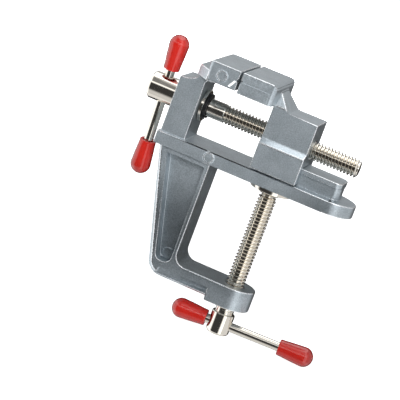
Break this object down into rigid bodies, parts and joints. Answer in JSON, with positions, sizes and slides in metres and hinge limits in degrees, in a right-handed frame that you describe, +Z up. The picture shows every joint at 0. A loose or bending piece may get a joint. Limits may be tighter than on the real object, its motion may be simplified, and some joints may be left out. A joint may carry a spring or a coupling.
{
  "type": "bench vise",
  "caption": "Small clamp-on bench vise: cast C-frame with fixed jaw and guide rail, sliding jaw on a captive lead screw, clamp screw with swivel pad, tommy bars with soft caps.",
  "frame": {"origin": "where the clamp screw's axis meets the flat underside of the bed, the face that rests on the bench", "axes": "+X along the lead screw toward its free end, +Y across the jaws, +Z up out of the bench face"},
  "size_m": [0.1058, 0.0354, 0.113],
  "materials": {
    "cast_aluminium": "satin, tumbled die casting",
    "nickel_plate": "bright nickel-plated steel",
    "spring_steel": "black phosphated spring steel",
    "red_vinyl": "glossy dipped vinyl"
  },
  "bodies": {
    "frame": {"body": "cast_aluminium"},
    "slide": {"moving_jaw": "cast_aluminium"},
    "lead": {"lead_screw": "nickel_plate", "lead_thrust_washer": "nickel_plate", "lead_retaining_ring": "spring_steel"},
    "lead_bar": {"lead_tommy_bar": "nickel_plate", "lead_cap_upper": "red_vinyl", "lead_cap_lower": "red_vinyl"},
    "pad": {"clamp_pad": "nickel_plate"},
    "clamp": {"clamp_screw": "nickel_plate"},
    "clamp_bar": {"clamp_tommy_bar": "nickel_plate", "clamp_cap_inner": "red_vinyl", "clamp_cap_outer": "red_vinyl"}
  },
  "joints": [
    {"name": "lead_spin", "type": "hinge", "parent": "frame", "child": "lead", "pos_m": [-0.045, 0, 0.0205], "axis": [1, 0, 0], "range_deg": [-6000, 144]},
    {"name": "jaw_slide", "type": "slide", "parent": "frame", "child": "slide", "axis": [1, 0, 0], "range_m": [-0.0007, 0.0252]},
    {"name": "lead_bar_slide", "type": "slide", "parent": "lead", "child": "lead_bar", "axis": [0, -0.1392, 0.9903], "range_m": [-0.0027, 0.0177]},
    {"name": "clamp_travel", "type": "slide", "parent": "frame", "child": "pad", "axis": [0, 0, 1], "range_m": [-0.0361, 0.0003]},
    {"name": "clamp_spin", "type": "hinge", "parent": "pad", "child": "clamp", "pos_m": [0, 0, -0.02], "axis": [0, 0, 1], "range_deg": [-8640, 48]},
    {"name": "clamp_bar_slide", "type": "slide", "parent": "clamp", "child": "clamp_bar", "axis": [0.9945, 0.1045, 0], "range_m": [-0.0215, 0.0009]}
  ],
  "couplings": [
    {"joint": "jaw_slide", "follows": "lead_spin", "m_per_rad": -0.00023873},
    {"joint": "clamp_travel", "follows": "clamp_spin", "m_per_rad": 0.00023873}
  ]
}
